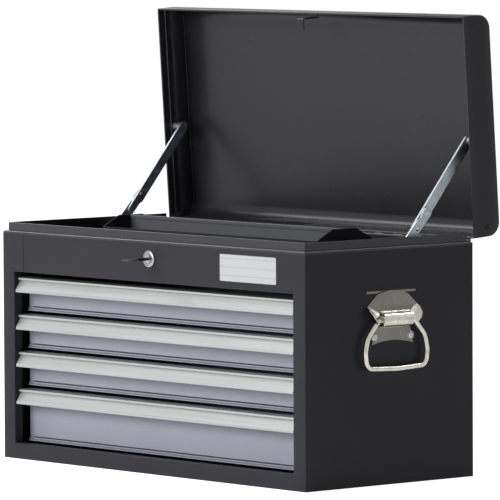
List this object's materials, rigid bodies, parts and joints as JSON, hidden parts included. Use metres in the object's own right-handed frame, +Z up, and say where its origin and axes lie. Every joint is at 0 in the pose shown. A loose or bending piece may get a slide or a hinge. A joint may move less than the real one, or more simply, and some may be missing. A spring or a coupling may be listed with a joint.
{
  "type": "machinist tool chest",
  "caption": "Sheet-steel tool chest: drawers on slides under a lidded top compartment with a lift-out tray, folding stays, a cam lock and drop handles.",
  "frame": {"origin": "centre of the base, on the surface that the chest stands on", "axes": "+X to the right seen from the front, +Y to the back, +Z up"},
  "size_m": [0.6946, 0.4087, 0.6429],
  "materials": {
    "charcoal_paint": "satin charcoal powder coat",
    "drawer_paint": "satin blue-grey powder coat",
    "anodised_pull": "fine brushed, clear anodised",
    "nickel_plate": "bright nickel plate",
    "zinc_plate": "blue zinc plate",
    "label_white": "blank white plate"
  },
  "bodies": {
    "case": {"left_side_panel": "charcoal_paint", "right_side_panel": "charcoal_paint", "back_and_bottom_panel": "charcoal_paint", "front_frame": "charcoal_paint", "top_front_panel": "charcoal_paint", "lock_panel": "charcoal_paint", "compartment_floor": "charcoal_paint", "top_rim": "charcoal_paint", "slide_posts": "charcoal_paint", "label_plate": "label_white", "drawer_1_channels": "zinc_plate", "drawer_2_channels": "zinc_plate", "drawer_3_channels": "zinc_plate", "drawer_4_channels": "zinc_plate", "lock_bar_guides": "zinc_plate", "hinge_case_leaf": "charcoal_paint", "hinge_pin": "zinc_plate", "stay_case_studs": "zinc_plate", "lock_housing": "nickel_plate", "lock_nut": "nickel_plate", "left_handle_plate": "nickel_plate", "right_handle_plate": "nickel_plate", "handle_rivets": "nickel_plate"},
    "lid": {"lid_shell": "charcoal_paint", "lid_catch": "zinc_plate", "hinge_lid_leaf": "charcoal_paint", "stay_lid_studs": "zinc_plate"},
    "drawer_1": {"drawer_1_box": "drawer_paint", "drawer_1_front": "drawer_paint", "drawer_1_pull": "anodised_pull", "drawer_1_rails": "zinc_plate"},
    "drawer_2": {"drawer_2_box": "drawer_paint", "drawer_2_front": "drawer_paint", "drawer_2_pull": "anodised_pull", "drawer_2_rails": "zinc_plate"},
    "drawer_3": {"drawer_3_box": "drawer_paint", "drawer_3_front": "drawer_paint", "drawer_3_pull": "anodised_pull", "drawer_3_rails": "zinc_plate"},
    "drawer_4": {"drawer_4_box": "drawer_paint", "drawer_4_front": "drawer_paint", "drawer_4_pull": "anodised_pull", "drawer_4_rails": "zinc_plate"},
    "lock_bar": {"drawer_lock_bar": "zinc_plate", "lock_bar_fingers": "zinc_plate"},
    "lock_barrel": {"lock_plug": "nickel_plate", "lock_cam": "zinc_plate"},
    "key": {"key": "nickel_plate"},
    "tray": {"tote_tray": "charcoal_paint", "tray_carrying_plate": "charcoal_paint"},
    "right_bail": {"right_bail": "nickel_plate"},
    "right_stay_lower": {"right_stay_lower_arm": "zinc_plate", "right_stay_rivets": "zinc_plate"},
    "right_stay_upper": {"right_stay_upper_arm": "zinc_plate", "right_stay_lid_rivet": "zinc_plate"},
    "left_bail": {"left_bail": "nickel_plate"},
    "left_stay_lower": {"left_stay_lower_arm": "zinc_plate", "left_stay_rivets": "zinc_plate"},
    "left_stay_upper": {"left_stay_upper_arm": "zinc_plate", "left_stay_lid_rivet": "zinc_plate"}
  },
  "joints": [
    {"name": "lid_hinge", "type": "hinge", "parent": "case", "child": "lid", "pos_m": [0, 0.1586, 0.328], "axis": [-1, 0, 0], "range_deg": [-86.2, 0]},
    {"name": "drawer_1_slide", "type": "slide", "parent": "case", "child": "drawer_1", "axis": [0, -1, 0], "range_m": [0, 0.24]},
    {"name": "drawer_2_slide", "type": "slide", "parent": "case", "child": "drawer_2", "axis": [0, -1, 0], "range_m": [0, 0.24]},
    {"name": "drawer_3_slide", "type": "slide", "parent": "case", "child": "drawer_3", "axis": [0, -1, 0], "range_m": [0, 0.24]},
    {"name": "drawer_4_slide", "type": "slide", "parent": "case", "child": "drawer_4", "axis": [0, -1, 0], "range_m": [0, 0.24]},
    {"name": "lock_turn", "type": "hinge", "parent": "case", "child": "lock_barrel", "pos_m": [0, -0.155, 0.3026], "axis": [0, -1, 0], "range_deg": [-90, 0]},
    {"name": "key_withdraw", "type": "slide", "parent": "lock_barrel", "child": "key", "axis": [0, -1, 0], "range_m": [0, 0.03]},
    {"name": "lock_bar_slide", "type": "slide", "parent": "case", "child": "lock_bar", "axis": [0, 0, 1], "range_m": [-0.0045, 0]},
    {"name": "tray_lift", "type": "slide", "parent": "case", "child": "tray", "axis": [0, 0, 1], "range_m": [0, 0.12]},
    {"name": "right_bail_swing", "type": "hinge", "parent": "case", "child": "right_bail", "pos_m": [0.3388, 0.003, 0.2273], "axis": [0, -1, 0], "range_deg": [0, 90]},
    {"name": "right_stay_swing", "type": "hinge", "parent": "case", "child": "right_stay_lower", "pos_m": [0.3102, 0.015, 0.293], "axis": [-1, 0, 0], "range_deg": [-134.6, 0]},
    {"name": "right_stay_fold", "type": "hinge", "parent": "right_stay_lower", "child": "right_stay_upper", "pos_m": [0.3079, 0.0877, 0.37069], "axis": [1, 0, 0], "range_deg": [-157.9, 0]},
    {"name": "left_bail_swing", "type": "hinge", "parent": "case", "child": "left_bail", "pos_m": [-0.3388, 0.003, 0.2273], "axis": [0, 1, 0], "range_deg": [0, 90]},
    {"name": "left_stay_swing", "type": "hinge", "parent": "case", "child": "left_stay_lower", "pos_m": [-0.3102, 0.015, 0.293], "axis": [-1, 0, 0], "range_deg": [-134.6, 0]},
    {"name": "left_stay_fold", "type": "hinge", "parent": "left_stay_lower", "child": "left_stay_upper", "pos_m": [-0.3079, 0.0877, 0.37069], "axis": [1, 0, 0], "range_deg": [-157.9, 0]}
  ],
  "couplings": [
    {"joint": "lock_bar_slide", "follows": "lid_hinge", "m_per_rad": 0.00299},
    {"joint": "right_stay_swing", "follows": "lid_hinge", "ratio": 1.5611},
    {"joint": "right_stay_fold", "follows": "lid_hinge", "ratio": 1.8307},
    {"joint": "left_stay_swing", "follows": "lid_hinge", "ratio": 1.5611},
    {"joint": "left_stay_fold", "follows": "lid_hinge", "ratio": 1.8307}
  ]
}
